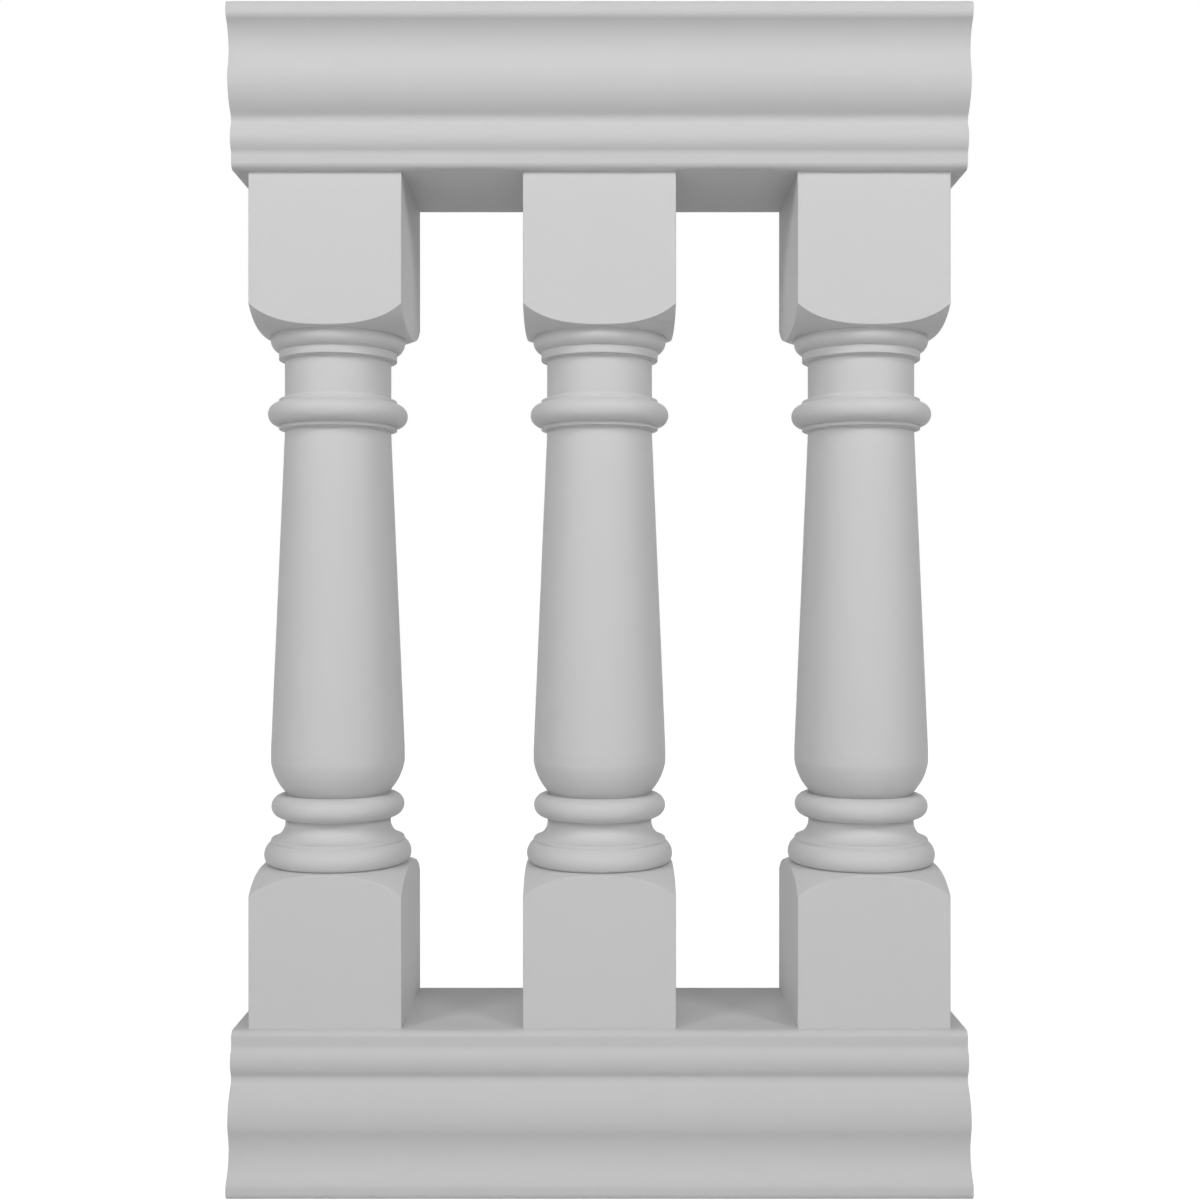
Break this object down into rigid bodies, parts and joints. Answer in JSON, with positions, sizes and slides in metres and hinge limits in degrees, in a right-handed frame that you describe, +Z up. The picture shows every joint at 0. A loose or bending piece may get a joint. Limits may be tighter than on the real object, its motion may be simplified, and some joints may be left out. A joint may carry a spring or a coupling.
{
  "type": "fiberglass balustrade section",
  "caption": "Balustrade section with hollow turned balusters clamped between a moulded top rail and the same moulding inverted as its base.",
  "frame": {"origin": "middle of the base, on the surface that the bottom rail stands on", "axes": "+X along the rails, +Y through the balustrade from front to back, +Z up"},
  "size_m": [0.6076, 0.1776, 0.9758],
  "materials": {
    "gelcoat": "matte pale grey gelcoat on glass laminate",
    "zinc": "bright zinc plate"
  },
  "bodies": {
    "root": {"top_rail": "gelcoat", "top_rail_closure": "gelcoat", "bottom_rail": "gelcoat", "bottom_rail_closure": "gelcoat", "baluster_left": "gelcoat", "baluster_middle": "gelcoat", "baluster_right": "gelcoat", "tie_rod_left": "zinc", "tie_rod_middle": "zinc", "tie_rod_right": "zinc", "top_plate_left": "zinc", "top_plate_middle": "zinc", "top_plate_right": "zinc", "bottom_plate_left": "zinc", "bottom_plate_middle": "zinc", "bottom_plate_right": "zinc", "top_nut_left": "zinc", "top_nut_middle": "zinc", "top_nut_right": "zinc", "bottom_nut_left": "zinc", "bottom_nut_middle": "zinc", "bottom_nut_right": "zinc"}
  },
  "joints": []
}
